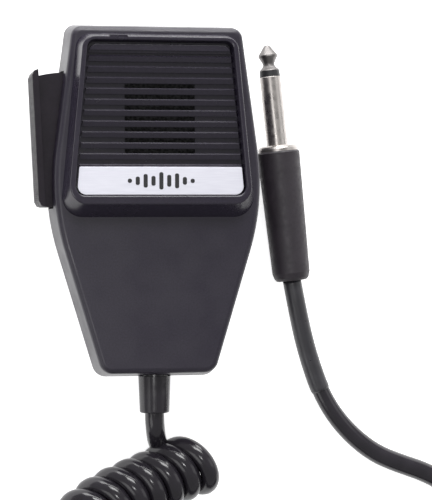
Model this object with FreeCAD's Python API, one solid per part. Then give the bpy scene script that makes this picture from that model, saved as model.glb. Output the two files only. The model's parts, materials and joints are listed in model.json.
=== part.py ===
import FreeCAD, Part
import math
import os

# Hand microphone lying on its back on a table, with a curly cord and a 6.35 mm jack plug.
# Millimetres. X runs across the microphone, Y towards its top, Z out of its face.
# The origin is the centre of the flat patch that it rests on.

Vec = FreeCAD.Vector
UP = Vec(0, 0, 1)

# Housing outline, from two straight flanks that meet in a rounded hip
TOP_Y = 51.6
BOTTOM_Y = -52.1
HIP_X = 33.1
HIP_Y = -0.7
HIP_RADIUS = 70.0
FLARE = math.radians(7.63)
TAPER = math.radians(16.8)
TOP_CORNER = 3.2
BOTTOM_CORNER = 4.2
WALL = 2.2

# Housing heights
SPLIT_Z = 15.0
PANEL_Z = 25.0
FRONT_DRAFT = 1.4
PANEL_EDGE = 1.7
REAR_DRAFT = 1.2
REAR_STEP = 0.25
REAR_EDGE = 5.5
REAR_CORNER = 8.0
PAD_Z = 6.0
PAD_SLOPE_START = 27.0

# Grille bezel: a raised frame round a recess with slats and a nameplate
CREST_Z = 31.0
SLAT_Z = 29.5
FLOOR_Z = 27.7
BEZEL_TOP_FOOT = 48.3
BEZEL_TOP_CREST = 46.95
BEZEL_BOTTOM_FOOT = -5.2
BEZEL_BOTTOM_CREST = -1.5
RIM_SIDE = 1.4
RIM_TOP = 1.15
RIM_BOTTOM = 2.4
SLAT_PITCH = 3.14
SLAT_COUNT = 11
LAST_SLAT_Y = 10.05
SLAT_LAND = 1.75
SLAT_FALL = 0.7
SLAT_CHAMFER = 0.35
SLAT_END_GAP = 0.75
TOP_GROOVE = 1.5
FIELD_TOP_Y = 44.8
SLOT_COUNT = 7
SLOT_HALF_WIDTH = 10.3
PLATE_BOTTOM = 1.1
PLATE_TOP = 9.3
PLATE_Z = 30.0
PLATE_GAP = 0.75

# Opening in the front panel that the bezel's skirt snaps into
CAPSULE_Y = 24.0
OPENING_HALF_X = 17.0
OPENING_HALF_Y = 16.0
SKIRT_WALL = 1.2
SKIRT_Z = 21.4

# Push-to-talk lever, on the left flank
PIVOT = Vec(-26.0, 1.5, 0)
PIN_RADIUS = 1.5
RUNNING_CLEARANCE = 0.05
LEVER_LOW_Z = 9.5
LEVER_HIGH_Z = 20.5
LEVER_INNER_X = -24.3
WEB_RADIUS = 35.6
PAD_TOP = Vec(-36.7, 37.8, 0)
PAD_BOTTOM = Vec(-34.8, -2.2, 0)
PAD_THICK = 2.0
PAD_LOW_Z = 7.5
PAD_HIGH_Z = 22.5
RIB_COUNT = 60
RIB_DEPTH = 0.3
SWITCH_Y = 18.5
SWITCH_Z = 11.0
PLUNGER_RADIUS = 1.5

# Screws
HOUSING_SCREWS = [(19.5, 42.0, 6.0), (-19.5, 42.0, 6.0), (11.5, -40.0, 0.0), (-11.5, -40.0, 0.0)]
SCREW_RADIUS = 1.5
HANG_Y = 42.0

# Cord
CORD_RADIUS = 2.8
CURL_RADIUS = 10.0
SLEEVE_RADIUS = 3.0
RELIEF_END_Y = -63.0

# Jack plug: its tip, its axis and its lengths from the tip
PLUG_TIP = Vec(36.4, 47.3, 6.5)
PLUG_REAR = Vec(43.9, -24.3, 6.5)
SHANK_RADIUS = 3.175
INSULATOR_FRONT = 7.8
INSULATOR_REAR = 9.7
SHANK_LENGTH = 30.6
BARREL_FRONT = 32.5
BARREL_REAR = (PLUG_REAR - PLUG_TIP).Length
BARREL_FRONT_RADIUS = 6.5
BARREL_REAR_RADIUS = 5.65

# The cord's free stretches, as hand-chosen corners that arcs then round
TAIL_ROUTE = [
    (0, -63, 15), (0, -65.4, 15), (0.9, -68.3, 14.8), (2.4, -70.6, 14.4), (4.8, -72.2, 13.8),
]
CURL_ROUTE = [
    (16.5, -76.4, 10), (3, -83.2, 10), (-11, -88.6, 10), (-23.5, -97, 10), (-30, -111, 10),
    (-27.5, -128, 10), (-17, -141.5, 10), (0, -149.5, 10), (20, -152.5, 10), (40, -152, 10),
    (60, -148.5, 10), (78, -140, 10), (93, -124, 10),
]
PLUG_ROUTE = [
    (43.9, -24.3, 6.5), (44.9, -29.3, 6.2), (46.3, -35.5, 5.4), (48.1, -42.6, 4.3), (50.4, -50, 3.5),
    (53.4, -58.2, 3.1), (57.6, -65.6, 3), (63.3, -72.2, 3), (70.5, -77.9, 3.1), (78.3, -81.2, 3.1),
    (86, -83.8, 3.15), (93.2, -87.6, 3.1), (99, -93.6, 3), (102.6, -101.8, 3), (104.2, -110.4, 2.9),
    (103.6, -118.2, 2.9), (99.6, -124.6, 2.9), (93.4, -127.8, 2.9),
]
SLEEVED_CORNERS = 4


def save(name, shape):
    shape.exportStep("parts/" + name + ".step")


def box(x0, x1, y0, y1, z0, z1):
    return Part.makeBox(x1 - x0, y1 - y0, z1 - z0, Vec(x0, y0, z0))


def post(x, y, z0, z1, radius):
    return Part.makeCylinder(radius, z1 - z0, Vec(x, y, z0))


def tube(x, y, z0, z1, outer, inner):
    return post(x, y, z0, z1, outer).cut(post(x, y, z0, z1, inner))


def rounded(corners, z):
    """Closed wire at height z through (x, y, radius) corners, each rounded by its radius."""
    count = len(corners)
    arcs = []
    for i in range(count):
        x, y, radius = corners[i]
        here = Vec(x, y, z)
        before = (Vec(corners[i - 1][0], corners[i - 1][1], z) - here).normalize()
        after = (Vec(corners[(i + 1) % count][0], corners[(i + 1) % count][1], z) - here).normalize()
        half = before.getAngle(after) / 2
        reach = radius / math.tan(half)
        inward = (before + after).normalize()
        middle = here + inward * (radius / math.sin(half) - radius)
        arcs.append((here + before * reach, middle, here + after * reach, radius))
    edges = []
    for i in range(count):
        start, middle, end, radius = arcs[i]
        if radius > 0:
            edges.append(Part.Arc(start, middle, end).toShape())
        edges.append(Part.LineSegment(end, arcs[(i + 1) % count][0]).toShape())
    return Part.Wire(edges)


def prism(corners, z0, z1):
    return Part.Face(rounded(corners, z0)).extrude(Vec(0, 0, z1 - z0))


def side_prism(profile, x0, x1):
    """Prism along X of a polygon given as (y, z) points."""
    points = [Vec(x0, y, z) for y, z in profile]
    return Part.Face(Part.makePolygon(points + points[:1])).extrude(Vec(x1 - x0, 0, 0))


def turned(profile):
    """Solid of revolution about Z from a closed polygon of (radius, z) points."""
    points = [Vec(r, 0, z) for r, z in profile]
    return Part.Face(Part.makePolygon(points + points[:1])).revolve(Vec(0, 0, 0), UP, 360)


def fillet_at(shape, radius, keep):
    """Round the edges whose bounding box passes the test keep."""
    edges = [edge for edge in shape.Edges if keep(edge.BoundBox)]
    return shape.makeFillet(radius, edges)


def flank_x(y, inset):
    """Half width of the unrounded housing outline at y."""
    flare = HIP_X - math.tan(FLARE) * (y - HIP_Y) - inset / math.cos(FLARE)
    taper = HIP_X + math.tan(TAPER) * (y - HIP_Y) - inset / math.cos(TAPER)
    return min(flare, taper)


def housing_corners(inset, top_corner, bottom_corner):
    shift = inset / math.cos(TAPER) - inset / math.cos(FLARE)
    hip_y = HIP_Y + shift / (math.tan(TAPER) + math.tan(FLARE))
    top = TOP_Y - inset
    bottom = BOTTOM_Y + inset
    right = [
        (flank_x(bottom, inset), bottom, bottom_corner),
        (flank_x(hip_y, inset), hip_y, HIP_RADIUS),
        (flank_x(top, inset), top, top_corner),
    ]
    left = [(-x, y, radius) for x, y, radius in reversed(right)]
    return right + left


def loft(low, z0, high, z1):
    return Part.makeLoft([rounded(low, z0), rounded(high, z1)], True, True)


# ---------------------------------------------------------------- housing

def front_outer():
    body = loft(
        housing_corners(0, TOP_CORNER, BOTTOM_CORNER), SPLIT_Z,
        housing_corners(FRONT_DRAFT, TOP_CORNER, BOTTOM_CORNER), PANEL_Z,
    )
    return fillet_at(body, PANEL_EDGE, lambda b: b.ZMin > PANEL_Z - 0.01)


def rear_outer():
    body = loft(
        housing_corners(REAR_STEP + REAR_DRAFT, REAR_CORNER, REAR_CORNER), 0,
        housing_corners(REAR_STEP, TOP_CORNER, BOTTOM_CORNER), SPLIT_Z,
    )
    body = fillet_at(body, REAR_EDGE, lambda b: b.ZMax < 0.01)
    return body.cut(pad_step(0))


def pad_step(offset):
    """Wedge that steps the upper back up to the hang button's pad."""
    rise = PAD_Z + offset
    start = PAD_SLOPE_START - 0.4 * offset
    return side_prism([(start, -1), (start, offset), (start + PAD_Z, rise), (60, rise), (60, -1)], -40, 40)


def lever_cutout():
    """Space in the left flank that the lever's web swings in."""
    return box(-45, LEVER_INNER_X + 3, -2.6, 37.6, LEVER_LOW_Z - 0.5, LEVER_HIGH_Z + 0.5)


def cord_opening():
    return Part.makeCylinder(4.0, 8, Vec(0, BOTTOM_Y - 2, SPLIT_Z), Vec(0, 1, 0))


def front_shell():
    outer = front_outer()
    ceiling = PANEL_Z - WALL
    cavity = loft(
        housing_corners(WALL, 2, 3), SPLIT_Z - 0.01,
        housing_corners(WALL + FRONT_DRAFT, 2, 3), ceiling,
    )
    shell = outer.cut(cavity)
    posts = []
    holes = []
    for x, y, seat in HOUSING_SCREWS:
        posts.append(post(x, y, SPLIT_Z, ceiling, 3.4))
        holes.append(post(x, y, SPLIT_Z, ceiling - 0.4, SCREW_RADIUS + RUNNING_CLEARANCE))
    for y in (CAPSULE_Y - 20.0, CAPSULE_Y + 19.4):
        posts.append(post(0, y, SPLIT_Z, ceiling, 3.0))
        holes.append(post(0, y, SPLIT_Z, ceiling - 1, 1.25))
    posts.append(post(PIVOT.x, PIVOT.y, LEVER_HIGH_Z + 0.3, ceiling, 3.2))
    holes.append(post(PIVOT.x, PIVOT.y, LEVER_HIGH_Z, ceiling - 0.5, PIN_RADIUS))
    opening = box(
        -OPENING_HALF_X, OPENING_HALF_X,
        CAPSULE_Y - OPENING_HALF_Y, CAPSULE_Y + OPENING_HALF_Y, ceiling - 1, PANEL_Z + 1,
    )
    shell = shell.cut(lever_cutout()).fuse(posts).common(outer)
    return shell.cut(holes + [opening, cord_opening()]).removeSplitter()


def rear_shell():
    outer = rear_outer()
    cavity = loft(
        housing_corners(REAR_STEP + REAR_DRAFT + WALL, REAR_CORNER, REAR_CORNER), WALL,
        housing_corners(REAR_STEP + WALL, 2, 3), SPLIT_Z + 0.01,
    )
    cavity = fillet_at(cavity, 3.0, lambda b: b.ZMax < WALL + 0.01).cut(pad_step(WALL))
    shell = outer.cut(cavity)
    posts = [
        post(PIVOT.x, PIVOT.y, 1.0, LEVER_LOW_Z - 0.3, 3.2),
        box(-7.2, 7.2, -45, -39, 1, SPLIT_Z - CORD_RADIUS),
    ]
    holes = [
        post(PIVOT.x, PIVOT.y, 3.5, SPLIT_Z, PIN_RADIUS),
        post(0, HANG_Y, 5, 12, 2.0),
        lever_cutout(),
        cord_opening(),
    ]
    for x, y, seat in HOUSING_SCREWS:
        posts.append(post(x, y, seat + 1, SPLIT_Z, 4.0))
        holes.append(post(x, y, seat - 1, seat + 3.4, 3.1))
        holes.append(post(x, y, seat, SPLIT_Z + 1, SCREW_RADIUS + 0.2))
    for x, y in switch_screw_places():
        posts.append(post(x, y, 1.5, 7.5, 2.4))
        holes.append(post(x, y, 3.2, 8, 1.05))
    for x in (-5.0, 5.0):
        holes.append(post(x, -42, 6, SPLIT_Z, 1.25))
    return shell.fuse(posts).common(outer).cut(holes).removeSplitter()


def housing_screws():
    screws = []
    for x, y, seat in HOUSING_SCREWS:
        head = post(x, y, seat + 1.4, seat + 3.4, 2.8)
        slot = box(x - 2, x + 2, y - 0.4, y + 0.4, seat + 1.4, seat + 2.3)
        cross = box(x - 0.4, x + 0.4, y - 2, y + 2, seat + 1.4, seat + 2.3)
        shank = post(x, y, seat + 3.4, 21.5, SCREW_RADIUS)
        screws.append(head.fuse(shank).cut([slot, cross]))
    return Part.makeCompound(screws)


def hang_button():
    """Headed stud that drops into a hang-up clip; its head is level with the rest patch."""
    head = post(0, HANG_Y, 0, 2.0, 5.0)
    head = fillet_at(head, 0.6, lambda b: b.ZMax < 0.01)
    collar = post(0, HANG_Y, PAD_Z - 0.8, PAD_Z, 4.2)
    neck = post(0, HANG_Y, 2.0, PAD_Z, 3.0)
    shank = post(0, HANG_Y, PAD_Z, 12.0, 1.95)
    return head.fuse([neck, collar, shank]).removeSplitter()


def hang_button_nut():
    corners = []
    for i in range(6):
        angle = math.radians(60 * i)
        corners.append((3.9 * math.cos(angle), HANG_Y + 3.9 * math.sin(angle), 0))
    nut = prism(corners, PAD_Z + WALL + 0.7, PAD_Z + WALL + 3.2)
    washer = post(0, HANG_Y, PAD_Z + WALL, PAD_Z + WALL + 0.7, 4.4)
    return nut.fuse(washer).cut(post(0, HANG_Y, PAD_Z, 14, 2.0)).removeSplitter()


# ---------------------------------------------------------------- grille bezel

def bezel_half(y, at_foot):
    """Half width of the bezel's straight sides at y."""
    if at_foot:
        return 28.4 - 0.098 * y
    return 26.86 - 0.0926 * y


def bezel_corners(inset_side, top, bottom, top_corner, bottom_corner, at_foot=False):
    half_top = bezel_half(top, at_foot) - inset_side
    half_bottom = bezel_half(bottom, at_foot) - inset_side
    return [
        (half_bottom, bottom, bottom_corner), (half_top, top, top_corner),
        (-half_top, top, top_corner), (-half_bottom, bottom, bottom_corner),
    ]


def slat_line(i):
    """Y of the crest of slat i, counted up from the nameplate."""
    return LAST_SLAT_Y + SLAT_PITCH * i


def slat_comb():
    """The slats' saw-tooth section, as one prism across the bezel."""
    top = FIELD_TOP_Y + 1
    groove = slat_line(SLAT_COUNT - 1)
    profile = [(top, FLOOR_Z - 0.5), (top, SLAT_Z)]
    profile.append((groove + TOP_GROOVE, SLAT_Z))
    profile.append((groove + TOP_GROOVE, SLAT_Z - 0.8))
    profile.append((groove + TOP_GROOVE / 2, SLAT_Z - 0.8))
    profile.append((groove + TOP_GROOVE / 2, FLOOR_Z))
    for i in reversed(range(SLAT_COUNT)):
        crest = slat_line(i)
        profile.append((crest, FLOOR_Z))
        profile.append((crest, SLAT_Z - SLAT_CHAMFER))
        profile.append((crest - SLAT_CHAMFER, SLAT_Z))
        if i > 0:
            profile.append((crest - SLAT_LAND, SLAT_Z - SLAT_FALL))
            profile.append((crest - SLAT_LAND, FLOOR_Z))
    profile.append((PLATE_TOP, SLAT_Z))
    profile.append((PLATE_TOP, FLOOR_Z - 0.5))
    return side_prism(profile, -30, 30)


def grille_slots():
    slots = []
    for i in range(1, SLOT_COUNT + 1):
        crest = slat_line(i)
        slots.append(box(
            -SLOT_HALF_WIDTH, SLOT_HALF_WIDTH, crest + 0.08, crest + SLAT_PITCH - SLAT_LAND - 0.08,
            FLOOR_Z - 3, FLOOR_Z + 0.3,
        ))
    return slots


def skirt():
    """Wall under the bezel that goes through the panel, with a hook at each corner of its flanks."""
    outer_x = OPENING_HALF_X - 0.1
    outer_y = OPENING_HALF_Y - 0.1
    ring = box(-outer_x, outer_x, CAPSULE_Y - outer_y, CAPSULE_Y + outer_y, SKIRT_Z, PANEL_Z)
    hooks = []
    for side in (-1, 1):
        for y in (CAPSULE_Y - 10, CAPSULE_Y + 10):
            inner = side * (outer_x - 0.5)
            tip = side * (outer_x + 0.8)
            hooks.append(box(min(inner, tip), max(inner, tip), y - 2, y + 2, SKIRT_Z, PANEL_Z - WALL - 0.1))
    return ring.fuse(hooks).cut(skirt_inside())


def skirt_inside():
    inner_x = OPENING_HALF_X - 0.1 - SKIRT_WALL
    inner_y = OPENING_HALF_Y - 0.1 - SKIRT_WALL
    return box(-inner_x, inner_x, CAPSULE_Y - inner_y, CAPSULE_Y + inner_y, SKIRT_Z - 1, FLOOR_Z - 1.5)


def grille_bezel():
    body = loft(
        bezel_corners(0, BEZEL_TOP_FOOT, BEZEL_BOTTOM_FOOT, 4.5, 6.0, at_foot=True), PANEL_Z,
        bezel_corners(0, BEZEL_TOP_CREST, BEZEL_BOTTOM_CREST, 3.8, 5.0), CREST_Z,
    )
    top = BEZEL_TOP_CREST - RIM_TOP
    bottom = BEZEL_BOTTOM_CREST + RIM_BOTTOM
    recess = loft(
        bezel_corners(RIM_SIDE + 0.5, top - 0.4, bottom, 2.0, 2.2), FLOOR_Z,
        bezel_corners(RIM_SIDE, top, bottom, 2.4, 3.0), CREST_Z + 0.01,
    )
    body = body.cut(recess)
    body = fillet_at(body, 0.45, lambda b: b.ZMin > CREST_Z - 0.01)
    field = prism(bezel_corners(RIM_SIDE + SLAT_END_GAP, FIELD_TOP_Y, 5, 2.4, 0), FLOOR_Z - 0.5, SLAT_Z)
    field = fillet_at(field, 0.3, lambda b: b.ZMin > SLAT_Z - 0.01)
    plinth = prism(plate_corners(0.05), FLOOR_Z - 0.5, PLATE_Z - 0.6)
    notch = box(-15, -9.7, BEZEL_TOP_CREST - 0.3, BEZEL_TOP_CREST + 2, CREST_Z - 2, CREST_Z + 1)
    body = body.fuse([slat_comb().common(field), plinth, skirt()])
    return body.cut(grille_slots() + [notch, skirt_inside()]).removeSplitter()


def plate_corners(inset):
    low = PLATE_BOTTOM + inset
    high = PLATE_TOP - inset
    half_low = bezel_half(low, False) - RIM_SIDE - PLATE_GAP - inset
    half_high = bezel_half(high, False) - RIM_SIDE - PLATE_GAP - inset
    return [(half_low, low, 2.5), (half_high, high, 0.3), (-half_high, high, 0.3), (-half_low, low, 2.5)]


def nameplate():
    plate = prism(plate_corners(0.05), PLATE_Z - 0.6, PLATE_Z)
    return fillet_at(plate, 0.12, lambda b: b.ZMin > PLATE_Z - 0.01)


def nameplate_mark():
    """Plain sound-level bars, printed in the middle of the nameplate."""
    heights = [1.2, 2.4, 3.9, 2.8, 5.0, 3.4, 4.3, 2.2, 1.2]
    middle = (PLATE_BOTTOM + PLATE_TOP) / 2
    bars = []
    for i, height in enumerate(heights):
        x = 2.3 * (i - (len(heights) - 1) / 2)
        low = middle - height / 2
        high = low + height
        corners = [(x + 0.6, low, 0.5), (x + 0.6, high, 0.5), (x - 0.6, high, 0.5), (x - 0.6, low, 0.5)]
        bars.append(prism(corners, PLATE_Z, PLATE_Z + 0.06))
    return Part.makeCompound(bars)


# ---------------------------------------------------------------- capsule

def at_capsule(shape):
    shape.translate(Vec(0, CAPSULE_Y, 0))
    return shape


def windscreen_foam():
    half_x = OPENING_HALF_X - SKIRT_WALL - 0.3
    half_y = OPENING_HALF_Y - SKIRT_WALL - 0.3
    return box(-half_x, half_x, CAPSULE_Y - half_y, CAPSULE_Y + half_y, 24.0, FLOOR_Z - 1.5)


def capsule_gasket():
    return at_capsule(tube(0, 0, 22.6, 24.0, 14.3, 12.4))


def capsule_cover():
    cover = turned([(0, 21.8), (11.6, 21.8), (11.6, 20.8), (13.5, 20.8), (13.5, 22.6), (0, 22.6)])
    holes = [post(0, 0, 21, 23, 1.1)]
    for ring_radius, count in ((4.5, 6), (8.6, 12)):
        for i in range(count):
            angle = 2 * math.pi * i / count
            x = ring_radius * math.cos(angle)
            y = ring_radius * math.sin(angle)
            holes.append(post(x, y, 21, 23, 1.0))
    return at_capsule(cover.cut(holes))


def capsule_diaphragm():
    return at_capsule(turned([
        (0, 21.3), (2.5, 21.15), (5.4, 20.6), (8.2, 20.9), (11.2, 20.6), (13.2, 20.6),
        (13.2, 20.8), (11.3, 20.8), (8.2, 21.1), (5.5, 20.8), (2.6, 21.35), (0, 21.5),
    ]))


def voice_coil():
    return at_capsule(tube(0, 0, 17.4, 20.5, 5.9, 5.3))


def capsule_basket():
    return at_capsule(turned([
        (7.7, 15.0), (13.5, 15.0), (13.5, 20.6), (11.8, 20.6), (11.8, 16.3), (7.7, 16.3),
    ]))


def magnet_yoke():
    return at_capsule(turned([
        (0, 10.5), (7.6, 10.5), (7.6, 19.6), (6.4, 19.6), (6.4, 12.0), (0, 12.0),
    ]))


def capsule_magnet():
    return at_capsule(post(0, 0, 12.0, 17.4, 4.5))


def pole_piece():
    return at_capsule(post(0, 0, 17.4, 19.8, 4.9))


def capsule_terminals():
    board = post(0, 0, 9.6, 10.5, 6.0)
    lugs = [box(x - 1, x + 1, -1, 1, 8.8, 9.6) for x in (-3, 3)]
    return at_capsule(board.fuse(lugs))


def capsule_retainer():
    arm = box(-4, 4, CAPSULE_Y - 23, CAPSULE_Y + 22.4, 14.0, 15.0)
    ring = post(0, CAPSULE_Y, 14.0, 15.0, 11.0)
    holes = [post(0, CAPSULE_Y, 13, 16, 7.9)]
    for y in (CAPSULE_Y - 20.0, CAPSULE_Y + 19.4):
        holes.append(post(0, y, 13, 16, 1.35))
    return arm.fuse(ring).cut(holes).removeSplitter()


def retainer_screws():
    screws = []
    for y in (CAPSULE_Y - 20.0, CAPSULE_Y + 19.4):
        screws.append(post(0, y, 12.6, 14.0, 2.2).fuse(post(0, y, 14.0, 20.5, 1.2)))
    return Part.makeCompound(screws)


# ---------------------------------------------------------------- push-to-talk lever

def ribbed_pad():
    """Thumb pad with fine cross ribs on its outer face."""
    along = PAD_BOTTOM - PAD_TOP
    length = along.Length
    along.normalize()
    outward = Vec(along.y, -along.x, 0)
    ribbed = length - 3.0
    points = []
    for i in range(RIB_COUNT):
        base = PAD_TOP + along * (1.5 + ribbed * i / RIB_COUNT)
        points.append(base + outward * -RIB_DEPTH)
        points.append(base + along * (ribbed / RIB_COUNT / 2))
    points.append(PAD_TOP + along * (length - 1.5) + outward * -RIB_DEPTH)
    points.append(PAD_BOTTOM + along * -0.4 + outward * -0.8)
    points.append(PAD_BOTTOM + outward * -PAD_THICK)
    points.append(PAD_TOP + outward * -PAD_THICK)
    points.append(PAD_TOP + along * 0.4 + outward * -0.8)
    wire = Part.makePolygon(points + points[:1])
    wire.translate(Vec(0, 0, PAD_LOW_Z))
    return Part.Face(wire).extrude(Vec(0, 0, PAD_HIGH_Z - PAD_LOW_Z))


def web_arc(radius, x):
    """Point at x on the circle about the pivot."""
    return Vec(x, PIVOT.y + math.sqrt(radius ** 2 - (x - PIVOT.x) ** 2), 0)


def web_wire(inner_x, radius, low_y, outer_shift, z):
    start = web_arc(radius, -35.0 + outer_shift)
    end = web_arc(radius, inner_x)
    middle = web_arc(radius, (start.x + end.x) / 2)
    corner_in = Vec(inner_x, low_y, 0)
    corner_out = Vec(-33.4 + outer_shift, low_y, 0)
    edges = [
        Part.Arc(start, middle, end).toShape(),
        Part.LineSegment(end, corner_in).toShape(),
        Part.LineSegment(corner_in, corner_out).toShape(),
        Part.LineSegment(corner_out, start).toShape(),
    ]
    wire = Part.Wire(edges)
    wire.translate(Vec(0, 0, z))
    return wire


def ptt_lever():
    height = LEVER_HIGH_Z - LEVER_LOW_Z
    web = Part.Face(web_wire(LEVER_INNER_X, WEB_RADIUS, -2.1, 0, LEVER_LOW_Z)).extrude(UP * height)
    pocket = web_wire(LEVER_INNER_X - 1.8, WEB_RADIUS - 1.8, 6.5, 2.6, LEVER_LOW_Z - 1)
    hollow = Part.Face(pocket).extrude(UP * (height - 1))
    spring_room = post(PIVOT.x, PIVOT.y, LEVER_LOW_Z - 1, 15.5, 3.4)
    bore = post(PIVOT.x, PIVOT.y, 0, 30, PIN_RADIUS + RUNNING_CLEARANCE)
    lever = web.fuse(ribbed_pad()).cut([hollow, spring_room, bore])
    return lever.removeSplitter()


def ptt_hinge_pin():
    return post(PIVOT.x, PIVOT.y, 3.5, PANEL_Z - WALL - 0.5, PIN_RADIUS)


def ptt_return_spring():
    """Torsion spring round the pin: a coil, one leg up the lever and one along the housing wall."""
    wire_radius = 0.3
    coil_radius = 2.1
    low = LEVER_LOW_Z + 0.2
    rise = 3.6
    coil = Part.makeHelix(0.9, rise, coil_radius)
    profile = Part.Wire(Part.makeCircle(wire_radius, Vec(coil_radius, 0, 0), Vec(0, 1, 0.07)))
    spring = Part.Wire(coil.Edges).makePipeShell([profile], True, True)
    leg_up = Part.makeCylinder(wire_radius, 9, Vec(coil_radius, 0, rise), Vec(0, 1, 0))
    leg_low = Part.makeCylinder(wire_radius, 5, Vec(coil_radius, 0, 0), Vec(0, -1, 0))
    spring = Part.makeCompound([spring, leg_up, leg_low])
    spring.translate(Vec(PIVOT.x, PIVOT.y, low))
    return spring


def switch_screw_places():
    return [(-16.0, SWITCH_Y - 7.4), (-16.0, SWITCH_Y + 7.4)]


def switch_body():
    body = box(-20, -12, SWITCH_Y - 9.3, SWITCH_Y + 9.3, 7.5, 13.7)
    bore = PLUNGER_RADIUS + RUNNING_CLEARANCE
    holes = [Part.makeCylinder(bore, 6, Vec(-20.5, SWITCH_Y, SWITCH_Z), Vec(1, 0, 0))]
    for x, y in switch_screw_places():
        holes.append(post(x, y, 7, 14, 1.15))
    body = fillet_at(body, 0.5, lambda b: b.ZLength > 5)
    return body.cut(holes)


def switch_plunger():
    tip = Part.makeSphere(PLUNGER_RADIUS, Vec(-24.15 + PLUNGER_RADIUS, SWITCH_Y, SWITCH_Z))
    stem_start = -24.15 + PLUNGER_RADIUS
    start = Vec(stem_start, SWITCH_Y, SWITCH_Z)
    stem = Part.makeCylinder(PLUNGER_RADIUS, -16.5 - stem_start, start, Vec(1, 0, 0))
    return tip.fuse(stem).removeSplitter()


def switch_terminals():
    lugs = []
    for i in range(-1, 2):
        y = SWITCH_Y + 4 * i
        lug = box(-14, -13.4, y - 1, y + 1, 4.2, 7.5)
        lugs.append(lug.cut(Part.makeCylinder(0.45, 2, Vec(-14.5, y, 5.2), Vec(1, 0, 0))))
    return Part.makeCompound(lugs)


def switch_screws():
    screws = []
    for x, y in switch_screw_places():
        screws.append(post(x, y, 13.7, 14.8, 1.9).fuse(post(x, y, 3.4, 13.7, 1.0)))
    return Part.makeCompound(screws)


# ---------------------------------------------------------------- cord entry

def strain_relief():
    """Moulded rubber sleeve with a groove that the housing's end wall sits in."""
    length = BOTTOM_Y - RELIEF_END_Y
    sleeve = Part.makeCone(4.4, 4.8, length, Vec(0, RELIEF_END_Y, SPLIT_Z), Vec(0, 1, 0))
    sleeve = fillet_at(sleeve, 0.5, lambda b: b.YMax < RELIEF_END_Y + 0.01)
    ridge = box(-0.25, 0.25, RELIEF_END_Y + 0.7, BOTTOM_Y, SPLIT_Z + 4.0, SPLIT_Z + 4.65)
    ridge.rotate(Vec(0, 0, SPLIT_Z), Vec(0, 1, 0), 38)
    flange_y = BOTTOM_Y + WALL + 1.1
    neck = Part.makeCylinder(3.9, flange_y - BOTTOM_Y, Vec(0, BOTTOM_Y, SPLIT_Z), Vec(0, 1, 0))
    flange = Part.makeCylinder(5.4, 1.5, Vec(0, flange_y, SPLIT_Z), Vec(0, 1, 0))
    bore = Part.makeCylinder(
        CORD_RADIUS + RUNNING_CLEARANCE, 20, Vec(0, RELIEF_END_Y - 1, SPLIT_Z), Vec(0, 1, 0),
    )
    return sleeve.fuse([ridge, neck, flange]).cut(bore).removeSplitter()


def cord_entry():
    return Part.makeCylinder(CORD_RADIUS, 26, Vec(0, RELIEF_END_Y, SPLIT_Z), Vec(0, 1, 0))


def cable_clamp():
    top = SPLIT_Z + CORD_RADIUS
    bar = box(-7.2, 7.2, -44.6, -39.4, top, top + 1.6)
    bar = fillet_at(bar, 1.0, lambda b: b.ZLength > 1)
    return bar.cut([post(x, -42, top - 1, top + 3, 1.35) for x in (-5.0, 5.0)])


def clamp_screws():
    top = SPLIT_Z + CORD_RADIUS + 1.6
    screws = []
    for x in (-5.0, 5.0):
        screws.append(post(x, -42, top, top + 1.4, 1.95).fuse(post(x, -42, 7, top, 1.2)))
    return Part.makeCompound(screws)


# ---------------------------------------------------------------- cords and leads

def rounded_path(route, report=None, corners=None):
    """Open wire of straight runs joined by tangent arcs; it can stop after so many corners."""
    points = [Vec(*point) for point in route]
    edges = []
    radii = []
    last = points[0]
    for i in range(1, len(points) - 1):
        before = points[i - 1] - points[i]
        after = points[i + 1] - points[i]
        shorter = min(before.Length, after.Length)
        before.normalize()
        after.normalize()
        half_turn = (math.pi - before.getAngle(after)) / 2
        reach = 0.45 * shorter
        radius = reach / math.tan(half_turn)
        inward = (before + after).normalize()
        start = points[i] + before * reach
        end = points[i] + after * reach
        middle = points[i] + inward * (radius / math.cos(half_turn) - radius)
        edges.append(Part.LineSegment(last, start).toShape())
        if corners is not None and i > corners:
            return Part.Wire(edges)
        edges.append(Part.Arc(start, middle, end).toShape())
        radii.append(radius)
        last = end
    edges.append(Part.LineSegment(last, points[-1]).toShape())
    wire = Part.Wire(edges)
    if report:
        print(report, "radii", [round(radius, 1) for radius in radii], "length", round(wire.Length, 1))
    return wire


def swept(route, radius, report=None, corners=None):
    path = rounded_path(route, report, corners)
    start = Vec(*route[0])
    heading = Vec(*route[1]) - start
    section = Part.Wire(Part.makeCircle(radius, start, heading))
    solid = path.makePipeShell([section], True, False)
    if report:
        ratio = solid.Volume / (math.pi * radius ** 2 * path.Length)
        print(report, "volume over section times length", round(ratio, 4), solid.isValid())
    return solid


def internal_leads():
    """Thin insulated leads from the cord to the capsule and to the switch."""
    cord_end = RELIEF_END_Y + 26.2
    routes = [
        [(-1.1, cord_end, 15.6), (-2.5, -28, 13.0), (-3.4, -10, 7.5), (-3.2, 8, 5.6), (-3.0, 23.2, 8.2)],
        [(1.1, cord_end, 15.6), (2.6, -28, 13.0), (3.5, -10, 7.5), (3.2, 8, 5.6), (3.0, 23.2, 8.2)],
        [(-1.2, cord_end, 14.1), (-5.2, -28, 10.5), (-9.6, -12, 6.0), (-11.6, 4, 4.6), (-12.6, 14.5, 4.4)],
        [(1.2, cord_end, 14.1), (-0.6, -26, 9.5), (-5.8, -8, 4.9), (-9.6, 8, 3.6), (-12.6, 18.6, 4.6)],
    ]
    return Part.makeCompound([swept(route, 0.6) for route in routes])


# ---------------------------------------------------------------- jack plug

def place_plug(shape):
    """Lay a piece that was made along Z, with the tip at 0, along the plug's axis."""
    heading = PLUG_REAR - PLUG_TIP
    shape.Placement = FreeCAD.Placement(PLUG_TIP, FreeCAD.Rotation(UP, heading))
    return shape


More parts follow.
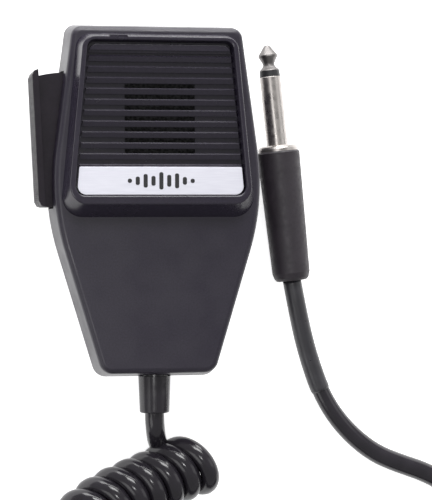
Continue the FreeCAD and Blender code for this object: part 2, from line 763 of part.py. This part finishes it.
def plug_tip():
    """Tip contact: rounded nose, waist that the jack's spring drops into, and its rod."""
    return place_plug(turned([
        (0, 0), (0.45, 0.05), (0.8, 0.22), (1.1, 0.55), (1.75, 1.5), (2.5, 2.5), (2.85, 3.05), (2.92, 3.4),
        (2.8, 3.75), (2.2, 4.8), (1.85, 5.5), (1.75, 5.95), (1.85, 6.4), (2.3, 7.0), (2.85, 7.5),
        (3.0, INSULATOR_FRONT), (1.2, INSULATOR_FRONT),
        (1.2, 44.0), (0, 44.0),
    ]))


def plug_insulator():
    return place_plug(turned([
        (1.2, INSULATOR_FRONT), (3.0, INSULATOR_FRONT), (3.13, INSULATOR_REAR),
        (1.9, INSULATOR_REAR), (1.9, 38.0), (1.2, 38.0),
    ]))


def plug_shank():
    """Sleeve contact with its flange and the threaded root that the barrel screws on to."""
    shank = turned([
        (1.9, INSULATOR_REAR), (SHANK_RADIUS - 0.1, INSULATOR_REAR), (SHANK_RADIUS, INSULATOR_REAR + 0.15),
        (SHANK_RADIUS, SHANK_LENGTH), (5.0, SHANK_LENGTH + 0.1), (5.7, SHANK_LENGTH + 0.5),
        (6.0, SHANK_LENGTH + 1.1), (6.0, BARREL_FRONT), (4.0, BARREL_FRONT), (4.0, 38.0), (1.9, 38.0),
    ])
    return place_plug(shank)


def plug_barrel():
    front = BARREL_FRONT
    rear = BARREL_REAR
    return place_plug(turned([
        (4.05, front), (BARREL_FRONT_RADIUS - 0.4, front), (BARREL_FRONT_RADIUS, front + 0.5),
        (BARREL_REAR_RADIUS + 0.05, rear - 2.4), (5.2, rear - 0.8), (4.7, rear - 0.15), (4.3, rear),
        (SLEEVE_RADIUS + 0.05, rear), (SLEEVE_RADIUS + 0.05, rear - 3.0), (4.6, rear - 5.0),
        (4.6, 40.0), (4.05, 38.5),
    ]))


def plug_inner_sleeve():
    """Insulating tube between the solder lugs and the barrel."""
    return place_plug(tube(0, 0, 40.5, BARREL_REAR - 5.5, 4.5, 4.1))


def plug_lugs():
    """Solder lug of the tip and the sleeve's cord grip."""
    tip_lug = box(-1.4, 1.4, -0.3, 0.3, 44.0, 50.0).cut(
        Part.makeCylinder(0.6, 4, Vec(0, -2, 48), Vec(0, 1, 0)))
    ring = tube(0, 0, 38.0, 38.8, 3.9, 2.0)
    strip = box(-1.6, 1.6, 3.0, 3.6, 38.8, 57.0)
    lugs = Part.makeCompound([tip_lug, ring.fuse(strip)])
    return place_plug(lugs)


def plug_cord():
    return swept(PLUG_ROUTE, CORD_RADIUS, "plug cord")


def cord_sleeve():
    """Heat-shrink sleeve over the cord behind the plug."""
    outer = swept(PLUG_ROUTE, SLEEVE_RADIUS, corners=SLEEVED_CORNERS)
    inner = swept(PLUG_ROUTE, CORD_RADIUS + 0.02, corners=SLEEVED_CORNERS)
    return outer.cut(inner)


def main():
    os.makedirs("parts", exist_ok=True)
    pieces = {
        "front_shell": front_shell(),
        "rear_shell": rear_shell(),
        "housing_screws": housing_screws(),
        "hang_button": hang_button(),
        "hang_button_nut": hang_button_nut(),
        "grille_bezel": grille_bezel(),
        "nameplate": nameplate(),
        "nameplate_mark": nameplate_mark(),
        "windscreen_foam": windscreen_foam(),
        "capsule_gasket": capsule_gasket(),
        "capsule_cover": capsule_cover(),
        "capsule_diaphragm": capsule_diaphragm(),
        "voice_coil": voice_coil(),
        "capsule_basket": capsule_basket(),
        "magnet_yoke": magnet_yoke(),
        "capsule_magnet": capsule_magnet(),
        "pole_piece": pole_piece(),
        "capsule_terminals": capsule_terminals(),
        "capsule_retainer": capsule_retainer(),
        "retainer_screws": retainer_screws(),
        "ptt_lever": ptt_lever(),
        "ptt_hinge_pin": ptt_hinge_pin(),
        "ptt_return_spring": ptt_return_spring(),
        "switch_body": switch_body(),
        "switch_plunger": switch_plunger(),
        "switch_terminals": switch_terminals(),
        "switch_screws": switch_screws(),
        "strain_relief": strain_relief(),
        "cord_entry": cord_entry(),
        "cable_clamp": cable_clamp(),
        "clamp_screws": clamp_screws(),
        "internal_leads": internal_leads(),
        "mic_cord_tail": swept(TAIL_ROUTE, CORD_RADIUS, "mic cord tail"),
        "curly_cord": swept(CURL_ROUTE, CURL_RADIUS, "curly cord"),
        "plug_cord": plug_cord(),
        "cord_sleeve": cord_sleeve(),
        "plug_tip": plug_tip(),
        "plug_insulator": plug_insulator(),
        "plug_shank": plug_shank(),
        "plug_barrel": plug_barrel(),
        "plug_inner_sleeve": plug_inner_sleeve(),
        "plug_lugs": plug_lugs(),
    }
    for name, shape in pieces.items():
        if not shape.isValid() or shape.Volume <= 0:
            print("not valid:", name, shape.Volume)
        save(name, shape)
    print(len(pieces), "parts")


main()
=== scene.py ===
import json
import math

import bpy
from mathutils import Matrix, Vector


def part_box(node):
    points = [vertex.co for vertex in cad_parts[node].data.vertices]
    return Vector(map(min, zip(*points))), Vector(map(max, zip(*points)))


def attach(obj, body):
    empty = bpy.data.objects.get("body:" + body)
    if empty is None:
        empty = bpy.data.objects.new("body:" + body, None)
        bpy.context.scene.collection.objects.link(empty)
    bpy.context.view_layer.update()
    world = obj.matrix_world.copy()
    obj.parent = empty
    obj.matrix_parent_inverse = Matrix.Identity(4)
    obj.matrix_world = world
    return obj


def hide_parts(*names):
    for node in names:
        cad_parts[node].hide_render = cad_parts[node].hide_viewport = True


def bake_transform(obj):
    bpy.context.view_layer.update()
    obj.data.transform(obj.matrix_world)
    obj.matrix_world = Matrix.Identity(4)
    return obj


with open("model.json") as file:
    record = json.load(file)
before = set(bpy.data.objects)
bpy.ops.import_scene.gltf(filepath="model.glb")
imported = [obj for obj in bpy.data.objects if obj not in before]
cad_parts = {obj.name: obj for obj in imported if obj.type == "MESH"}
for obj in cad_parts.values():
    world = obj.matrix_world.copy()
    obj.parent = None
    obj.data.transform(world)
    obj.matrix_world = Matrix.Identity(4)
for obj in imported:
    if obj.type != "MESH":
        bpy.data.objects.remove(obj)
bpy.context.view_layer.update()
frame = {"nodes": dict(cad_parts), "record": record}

# Metres, in the model's frame: X across the microphone, Y towards its top, Z out of its face.
MM = 0.001
CORD_DIAMETER = 5.6 * MM

# The cord's route: out of the strain relief, along the curl's axis, and up to the plug
TAIL_ROUTE = [
    (0, -0.063, 0.015), (0, -0.0654, 0.015), (0.0004, -0.0684, 0.014), (0.0013, -0.0716, 0.0105),
    (0.0032, -0.075, 0.0064), (0.006, -0.078, 0.0042),
]
CURL_ROUTE = [
    (0.0165, -0.0764, 0.010), (0.003, -0.0832, 0.010), (-0.011, -0.0886, 0.010), (-0.0235, -0.097, 0.010),
    (-0.030, -0.111, 0.010), (-0.0275, -0.128, 0.010), (-0.017, -0.1415, 0.010), (0, -0.1495, 0.010),
    (0.020, -0.1525, 0.010), (0.040, -0.152, 0.010), (0.060, -0.1485, 0.010), (0.078, -0.140, 0.010),
    (0.093, -0.124, 0.010),
]
PLUG_ROUTE = [
    (0.0439, -0.0243, 0.0065), (0.0449, -0.0293, 0.0062), (0.0463, -0.0355, 0.0054),
    (0.0481, -0.0426, 0.0043), (0.0504, -0.050, 0.0035), (0.0534, -0.0582, 0.0031),
    (0.0576, -0.0656, 0.003), (0.0633, -0.0722, 0.003), (0.0705, -0.0779, 0.0031),
    (0.0783, -0.0812, 0.0031), (0.086, -0.0838, 0.00315), (0.0932, -0.0876, 0.0031),
    (0.099, -0.0936, 0.003), (0.1026, -0.1018, 0.003), (0.1042, -0.1104, 0.0029),
    (0.1036, -0.1182, 0.0029), (0.1012, -0.1246, 0.003), (0.0988, -0.1302, 0.0042),
]

# Thickness along the cord, over its nominal diameter: the end at the plug is thickest about its middle
TAIL_SWELL = 1.03
CURL_SWELL = 1.0
PLUG_SWELL = [
    0.92, 0.92, 0.93, 0.94, 0.95, 0.97, 1.0, 1.03, 1.06, 1.08, 1.1, 1.08, 1.04, 1.0, 0.96, 0.94, 0.92, 0.92,
]
SLEEVE_END_Y = -0.0582
SLEEVE_WALL = 0.22 * MM
SLEEVE_LIP = 0.12 * MM

CURL_RADIUS = 7.22 * MM
CURL_TURNS = 37.75
CURL_START = 3.3 * MM
CURL_END_GAP = 4 * MM
CURL_START_ANGLE = -90
CURL_UNEVENNESS = 0.015
CURL_UNEVEN_RATE = 0.8
SPLINE_ALLOWANCE = 1.017
TURN_TILT = 33
FIRST_SHIFT = 1.0 * MM
FIRST_TURNS = 0.9
POINTS_PER_TURN = 14

FOAM_STEPS = 24
FOAM_EDGE = 0.8
FOAM_CROWN = 0.19
FOAM_PULL = 0.012

# Camera: high above the microphone, a little to its left, and turned towards it; angles in degrees
CAMERA_PLACE = (-0.0926, -0.0149, 0.6046)
CAMERA_TURN = -10.7
CAMERA_ROLL = -0.3
CAMERA_LENS = 144.8


# ---------------------------------------------------------------- curves and meshes

def line_curve(name, points, radius=0.0):
    """One open NURBS spline with these control points."""
    data = bpy.data.curves.new(name, "CURVE")
    data.dimensions = "3D"
    data.resolution_u = 4
    data.bevel_depth = radius
    data.bevel_resolution = 5
    data.use_fill_caps = radius > 0
    spline = data.splines.new("NURBS")
    spline.points.add(len(points) - 1)
    for point, place in zip(spline.points, points):
        point.co = (*place, 1.0)
    spline.order_u = 3
    spline.use_endpoint_u = True
    piece = bpy.data.objects.new(name, data)
    bpy.context.scene.collection.objects.link(piece)
    return piece


def sampled(points, resolution=24):
    """Points along the NURBS spline of a route."""
    piece = line_curve("route", points)
    piece.data.resolution_u = resolution
    mesh = bpy.data.meshes.new_from_object(piece)
    line = [vertex.co.copy() for vertex in mesh.vertices]
    data = piece.data
    bpy.data.objects.remove(piece)
    bpy.data.curves.remove(data)
    bpy.data.meshes.remove(mesh)
    return line


def distances(line):
    """Distance along a line of points up to each of them."""
    total = [0.0]
    for before, here in zip(line, line[1:]):
        total.append(total[-1] + (here - before).length)
    return total


def place_on(line, total, distance):
    """Point and direction at a distance along a line."""
    i = 1
    while i < len(line) - 1 and total[i] < distance:
        i += 1
    share = (distance - total[i - 1]) / (total[i] - total[i - 1])
    return line[i - 1].lerp(line[i], share), (line[i] - line[i - 1]).normalized()


def mesh_piece(name, vertices, faces, smooth=True):
    mesh = bpy.data.meshes.new(name)
    mesh.from_pydata([tuple(v) for v in vertices], [], faces)
    mesh.validate()
    mesh.polygons.foreach_set("use_smooth", [smooth] * len(mesh.polygons))
    piece = bpy.data.objects.new(name, mesh)
    bpy.context.scene.collection.objects.link(piece)
    return piece


# ---------------------------------------------------------------- material helpers

class Look:
    """A node material with a Principled shader, built up by short calls."""

    def __init__(self, name, colour, roughness, metallic=0.0, ior=1.46):
        self.material = bpy.data.materials.new(name)
        self.material.use_nodes = True
        self.tree = self.material.node_tree
        self.shader = self.tree.nodes["Principled BSDF"]
        self.shader.inputs["Base Color"].default_value = (*colour, 1)
        self.shader.inputs["Roughness"].default_value = roughness
        self.shader.inputs["Metallic"].default_value = metallic
        self.shader.inputs["IOR"].default_value = ior
        self.height = None

    def node(self, kind, **values):
        made = self.tree.nodes.new(kind)
        for name, value in values.items():
            setattr(made, name, value)
        return made

    def link(self, start, end):
        self.tree.links.new(start, end)

    def place(self):
        """Position on the object, in metres."""
        return self.node("ShaderNodeTexCoord").outputs["Object"]

    def noise(self, size, detail=2.0, stretch=(1, 1, 1)):
        """Noise whose patches are about size metres across."""
        mapping = self.node("ShaderNodeMapping")
        mapping.inputs["Scale"].default_value = [s / size for s in stretch]
        self.link(self.place(), mapping.inputs["Vector"])
        texture = self.node("ShaderNodeTexNoise")
        texture.inputs["Scale"].default_value = 1.0
        texture.inputs["Detail"].default_value = detail
        self.link(mapping.outputs["Vector"], texture.inputs["Vector"])
        return texture.outputs["Fac"]

    def cells(self, size):
        """Distance to the nearest of scattered points about size metres apart."""
        texture = self.node("ShaderNodeTexVoronoi")
        texture.inputs["Scale"].default_value = 1 / size
        self.link(self.place(), texture.inputs["Vector"])
        return texture.outputs["Distance"]

    def ranged(self, value, low, high, start=0.3, end=0.7):
        """Map a factor's range start..end on low..high."""
        node = self.node("ShaderNodeMapRange")
        node.inputs["From Min"].default_value = start
        node.inputs["From Max"].default_value = end
        node.inputs["To Min"].default_value = low
        node.inputs["To Max"].default_value = high
        self.link(value, node.inputs["Value"])
        return node.outputs["Result"]

    def vary_roughness(self, value, low, high):
        self.link(self.ranged(value, low, high), self.shader.inputs["Roughness"])

    def vary_colour(self, value, dark, light):
        ramp = self.node("ShaderNodeValToRGB")
        ramp.color_ramp.elements[0].position = 0.3
        ramp.color_ramp.elements[0].color = (*dark, 1)
        ramp.color_ramp.elements[1].position = 0.7
        ramp.color_ramp.elements[1].color = (*light, 1)
        self.link(value, ramp.inputs["Fac"])
        self.link(ramp.outputs["Color"], self.shader.inputs["Base Color"])

    def bump(self, value, height, strength=1.0):
        """Raise the surface by up to height metres; calls add up."""
        node = self.node("ShaderNodeBump")
        node.inputs["Distance"].default_value = height
        node.inputs["Strength"].default_value = strength
        self.link(value, node.inputs["Height"])
        if self.height:
            self.link(self.height, node.inputs["Normal"])
        self.height = node.outputs["Normal"]
        self.link(self.height, self.shader.inputs["Normal"])


def moulded(name, colour, roughness, grain_size, grain_height, ior=1.5):
    """Moulded plastic with a fine spark-eroded grain and slight wear."""
    look = Look(name, colour, roughness, ior=ior)
    grain = look.noise(grain_size, 3.0)
    wear = look.noise(9 * MM, 3.0)
    look.bump(grain, grain_height, 0.6)
    look.vary_roughness(wear, roughness * 0.85, roughness * 1.2)
    lighter = [c * 1.2 for c in colour]
    look.vary_colour(grain, [c * 0.8 for c in colour], lighter)
    return look


def glossy(name, colour, roughness, wave_size, wave_height, ior=1.5):
    """Smooth moulding whose surface is slightly wavy."""
    look = Look(name, colour, roughness, ior=ior)
    look.bump(look.noise(wave_size, 1.0), wave_height, 0.5)
    look.vary_roughness(look.noise(1.2 * MM, 4.0), roughness * 0.8, roughness * 1.3)
    look.vary_colour(look.noise(5 * MM, 2.0), [c * 0.85 for c in colour], [c * 1.15 for c in colour])
    return look


def metal(name, colour, roughness, scratch_size, scratch_height, stretch=(1, 1, 1)):
    look = Look(name, colour, roughness, metallic=1.0)
    look.bump(look.noise(scratch_size, 3.0, stretch), scratch_height, 0.5)
    look.vary_roughness(look.noise(2 * MM, 3.0), roughness * 0.7, roughness * 1.4)
    look.vary_colour(look.noise(3 * MM, 2.0), [c * 0.93 for c in colour], colour)
    return look


def foam_look():
    look = Look("foam", (0.02, 0.02, 0.021), 0.95)
    pores = look.cells(0.8 * MM)
    look.bump(pores, 0.4 * MM)
    look.vary_colour(pores, (0.006, 0.006, 0.006), (0.03, 0.03, 0.031))
    return look


def plate_look():
    """Silvery white anodised plate, brushed along its length."""
    look = Look("nameplate_plate", (0.72, 0.72, 0.79), 0.42, metallic=0.35)
    brush = look.noise(0.25 * MM, 2.0, (0.04, 1, 1))
    look.bump(brush, 0.004 * MM, 0.4)
    look.vary_colour(brush, (0.69, 0.69, 0.765), (0.74, 0.74, 0.81))
    look.vary_roughness(brush, 0.36, 0.5)
    return look


def make_looks():
    """One material for each of the record's slots."""
    charcoal = (0.0175, 0.0143, 0.0245)
    black = (0.016, 0.014, 0.0185)
    return {
        "housing_plastic": moulded("housing_plastic", charcoal, 0.36, 0.5 * MM, 0.03 * MM),
        "bezel_plastic": moulded("bezel_plastic", charcoal, 0.24, 0.5 * MM, 0.01 * MM),
        "lever_plastic": glossy("lever_plastic", (0.012, 0.009, 0.0135), 0.5, 4 * MM, 0.02 * MM, ior=1.3),
        "nameplate_plate": plate_look(),
        "mark_ink": glossy("mark_ink", (0.012, 0.012, 0.014), 0.5, 1 * MM, 0.01 * MM),
        "zinc_steel": metal("zinc_steel", (0.56, 0.56, 0.58), 0.35, 0.4 * MM, 0.01 * MM),
        "nickel_plate": metal("nickel_plate", (0.5, 0.48, 0.45), 0.22, 1 * MM, 0.004 * MM),
        "plug_nickel": metal("plug_nickel", (0.5, 0.47, 0.45), 0.3, 1 * MM, 0.004 * MM, (1, 0.1, 1)),
        "worn_nickel": metal("worn_nickel", (0.2, 0.19, 0.187), 0.42, 0.6 * MM, 0.01 * MM),
        "foam": foam_look(),
        "rubber": moulded("rubber", (0.015, 0.015, 0.015), 0.7, 0.4 * MM, 0.02 * MM),
        "relief_rubber": glossy("relief_rubber", black, 0.2, 5 * MM, 0.12 * MM),
        "capsule_metal": metal("capsule_metal", (0.6, 0.6, 0.6), 0.35, 0.3 * MM, 0.01 * MM),
        "diaphragm_film": glossy("diaphragm_film", (0.5, 0.45, 0.3), 0.2, 3 * MM, 0.02 * MM),
        "copper": metal("copper", (0.7, 0.35, 0.2), 0.3, 0.2 * MM, 0.02 * MM, (1, 1, 8)),
        "inner_plastic": moulded("inner_plastic", (0.05, 0.05, 0.05), 0.5, 0.5 * MM, 0.02 * MM),
        "magnet": metal("magnet", (0.2, 0.2, 0.21), 0.5, 0.4 * MM, 0.02 * MM),
        "board": moulded("board", (0.3, 0.18, 0.08), 0.6, 0.3 * MM, 0.01 * MM),
        "spring_steel": metal("spring_steel", (0.5, 0.5, 0.5), 0.3, 0.3 * MM, 0.004 * MM),
        "switch_red": glossy("switch_red", (0.4, 0.02, 0.015), 0.3, 3 * MM, 0.02 * MM),
        "brass": metal("brass", (0.75, 0.6, 0.3), 0.3, 0.4 * MM, 0.01 * MM),
        "cord_pvc": glossy("cord_pvc", black, 0.16, 6 * MM, 0.15 * MM),
        "sleeve_pvc": glossy("sleeve_pvc", (0.03, 0.029, 0.034), 0.34, 6 * MM, 0.12 * MM),
        "lead_pvc": glossy("lead_pvc", (0.45, 0.03, 0.025), 0.35, 2 * MM, 0.02 * MM),
        "insulator_black": glossy("insulator_black", (0.02, 0.02, 0.022), 0.35, 2 * MM, 0.01 * MM),
        "barrel_plastic": glossy("barrel_plastic", (0.020, 0.0155, 0.021), 0.5, 7 * MM, 0.05 * MM),
    }


def dress_nodes(looks):
    """Give every CAD node the material of its slot in the record, except the plug tip, which gets
    worn_nickel.
    """
    for part in frame["record"]["subparts"]:
        piece = frame["nodes"][part["node"]]
        name = "worn_nickel" if part["node"] == "plug_tip" else part["material_slot"]
        for slot in piece.material_slots:
            slot.material = looks[name].material


# ---------------------------------------------------------------- the cord

def curl_points():
    """Control points of the curly cord's turns, wound round its axis from the tail's end.

    The tail runs in under the first turn and draws it aside; every turn leans over its neighbour.
    """
    axis = sampled(CURL_ROUTE)
    total = distances(axis)
    end = total[-1] - CURL_END_GAP
    tilt = math.radians(TURN_TILT)
    count = round(CURL_TURNS * POINTS_PER_TURN)
    points = []
    for i in range(count + 1):
        turns = i / POINTS_PER_TURN
        angle = math.radians(CURL_START_ANGLE) - 2 * math.pi * turns
        centre, along = place_on(axis, total, CURL_START + (end - CURL_START) * i / count)
        side = along.cross(Vector((0, 0, 1))).normalized()
        first = math.exp(-(turns / FIRST_TURNS) ** 2)
        radius = CURL_RADIUS * (1 + CURL_UNEVENNESS * math.sin(CURL_UNEVEN_RATE * angle))
        lift = Vector((0, 0, 1)) * math.cos(tilt) - along * math.sin(tilt)
        # the spline cuts inside its control points, so they stand a little further out
        point = centre + SPLINE_ALLOWANCE * radius * (side * math.cos(angle) + lift * math.sin(angle))
        points.append(point - side * FIRST_SHIFT * first)
    return points


def make_cord(looks):
    """One spline from the strain relief through the curls to the plug."""
    tail = [Vector(p) for p in TAIL_ROUTE]
    curl = curl_points()
    lead = [Vector(p) for p in reversed(PLUG_ROUTE)]
    points = tail + curl + lead
    swell = [TAIL_SWELL] * len(tail) + [CURL_SWELL] * len(curl) + list(reversed(PLUG_SWELL))
    cord = line_curve("cord", points, CORD_DIAMETER / 2)
    for point, factor in zip(cord.data.splines[0].points, swell):
        point.radius = factor
    cord.data.materials.append(looks["cord_pvc"].material)
    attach(cord, "housing")
    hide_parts("mic_cord_tail", "curly_cord", "plug_cord")
    sleeve = make_sleeve(looks)
    length = distances(sampled(points, 8))[-1]


def ring_tube(name, line, radii, sides=32):
    """Tube of the given radii round a line, closed at both ends."""
    vertices = []
    for i, centre in enumerate(line):
        along = (line[min(i + 1, len(line) - 1)] - line[max(i - 1, 0)]).normalized()
        side = along.cross(Vector((0, 0, 1))).normalized()
        up = side.cross(along)
        for j in range(sides):
            angle = 2 * math.pi * j / sides
            vertices.append(centre + radii[i] * (side * math.cos(angle) + up * math.sin(angle)))
    faces = []
    for i in range(len(line) - 1):
        for j in range(sides):
            k = (j + 1) % sides
            faces.append((i * sides + j, i * sides + k, (i + 1) * sides + k, (i + 1) * sides + j))
    faces.append(tuple(reversed(range(sides))))
    last = (len(line) - 1) * sides
    faces.append(tuple(last + j for j in range(sides)))
    return mesh_piece(name, vertices, faces)


def make_sleeve(looks):
    """Heat-shrink sleeve over the cord, from inside the barrel, with a thin rolled lip at its end."""
    line = [p for p in sampled(PLUG_ROUTE, 12) if p.y > SLEEVE_END_Y]
    radii = []
    for p in line:
        share = (PLUG_ROUTE[0][1] - p.y) / (PLUG_ROUTE[0][1] - SLEEVE_END_Y)
        swell = PLUG_SWELL[0] + (PLUG_SWELL[5] - PLUG_SWELL[0]) * share
        radii.append(CORD_DIAMETER / 2 * swell + SLEEVE_WALL)
    radii[-1] -= SLEEVE_LIP
    sleeve = ring_tube("heat_shrink_sleeve", line, radii)
    sleeve.data.materials.append(looks["sleeve_pvc"].material)
    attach(sleeve, "housing")
    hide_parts("cord_sleeve")
    return sleeve


# ---------------------------------------------------------------- the foam

def make_foam(looks):
    """Windscreen pad behind the slots: square-sided foam, lightly crowned on both faces."""
    low, high = [Vector(corner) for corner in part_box("windscreen_foam")]
    centre = (low + high) / 2
    half = (high - low) / 2
    steps = FOAM_STEPS
    vertices = []
    for face in (-1, 1):
        for i in range(steps + 1):
            for j in range(steps + 1):
                u = 2 * i / steps - 1
                v = 2 * j / steps - 1
                crown = (1 - u ** 4) * (1 - v ** 4)
                pull = 1 - FOAM_PULL * (1 - crown)
                height = face * half.z * (FOAM_EDGE + FOAM_CROWN * crown)
                vertices.append(centre + Vector((u * half.x * pull, v * half.y * pull, height)))
    row = steps + 1
    layer = row * row
    faces = []
    for i in range(steps):
        for j in range(steps):
            k = i * row + j
            faces.append((k, k + 1, k + row + 1, k + row))
            faces.append((layer + k, layer + k + row, layer + k + row + 1, layer + k + 1))
    rim = list(range(steps))
    rim += [steps + i * row for i in range(steps)]
    rim += [steps * row + steps - j for j in range(steps)]
    rim += [(steps - i) * row for i in range(steps)]
    for k, here in enumerate(rim):
        after = rim[(k + 1) % len(rim)]
        faces.append((here, layer + here, layer + after, after))
    pad = mesh_piece("foam_pad", vertices, faces)
    pad.data.materials.append(looks["foam"].material)
    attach(pad, "housing")
    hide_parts("windscreen_foam")


# ---------------------------------------------------------------- the return spring

def make_spring():
    """Lever's return spring: a copy of its CAD node's mesh, baked in place and attached to no body."""
    node = frame["nodes"]["ptt_return_spring"]
    spring = bpy.data.objects.new("twisting_spring", node.data.copy())
    bpy.context.scene.collection.objects.link(spring)
    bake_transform(spring)
    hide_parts("ptt_return_spring")


# ---------------------------------------------------------------- stage

SKY = 0.42
FLOOR_GLOW = 0.75


def make_floor():
    bpy.ops.mesh.primitive_plane_add(size=6, location=(0, 0, -0.0005))
    floor = bpy.context.object
    floor.name = "floor"
    look = Look("floor", (0.92, 0.92, 0.92), 0.85)
    look.vary_colour(look.noise(0.4, 1.0), (0.91, 0.91, 0.91), (0.93, 0.93, 0.93))
    look.shader.inputs["Emission Color"].default_value = (1, 1, 1, 1)
    look.shader.inputs["Emission Strength"].default_value = FLOOR_GLOW
    floor.data.materials.append(look.material)


def softbox(name, place, target, width, height, radiance):
    """Rectangular light of that brightness, whatever its size."""
    data = bpy.data.lights.new(name, "AREA")
    data.shape = "RECTANGLE"
    data.size = width
    data.size_y = height
    data.energy = radiance * math.pi * width * height
    lamp = bpy.data.objects.new(name, data)
    lamp.location = place
    lamp.rotation_euler = (Vector(target) - Vector(place)).to_track_quat("-Z", "Y").to_euler()
    bpy.context.scene.collection.objects.link(lamp)


def make_lights():
    world = bpy.data.worlds.new("studio")
    world.use_nodes = True
    world.node_tree.nodes["Background"].inputs["Color"].default_value = (1, 1, 1, 1)
    world.node_tree.nodes["Background"].inputs["Strength"].default_value = SKY
    bpy.context.scene.world = world
    middle = (0.01, -0.01, 0.01)
    softbox("key_softbox", (0.05, 0.58, 0.56), middle, 0.5, 0.26, 11)
    softbox("back_softbox", (0.0, 0.95, 0.2), middle, 1.3, 0.38, 7)
    softbox("left_softbox", (-0.75, -0.45, 0.6), middle, 0.5, 0.5, 1.6)
    softbox("lens_softbox", (-0.14, -0.06, 0.66), (0, -0.05, 0.01), 0.07, 0.1, 25)
    softbox("right_softbox", (0.85, 0.1, 0.5), middle, 0.5, 0.6, 0.7)


def make_camera():
    data = bpy.data.cameras.new("camera")
    data.lens = CAMERA_LENS
    data.sensor_width = 36
    data.clip_start = 0.01
    data.clip_end = 10
    camera = bpy.data.objects.new("camera", data)
    camera.location = CAMERA_PLACE
    tilt = Matrix.Rotation(math.radians(CAMERA_TURN), 4, "Y")
    roll = Matrix.Rotation(math.radians(CAMERA_ROLL), 4, "Z")
    camera.rotation_euler = (tilt @ roll).to_euler()
    bpy.context.scene.collection.objects.link(camera)
    bpy.context.scene.camera = camera


looks = make_looks()
dress_nodes(looks)
make_cord(looks)
make_foam(looks)
make_spring()
make_floor()
make_lights()
make_camera()
bpy.context.scene.view_settings.view_transform = "Standard"
bpy.context.view_layer.update()
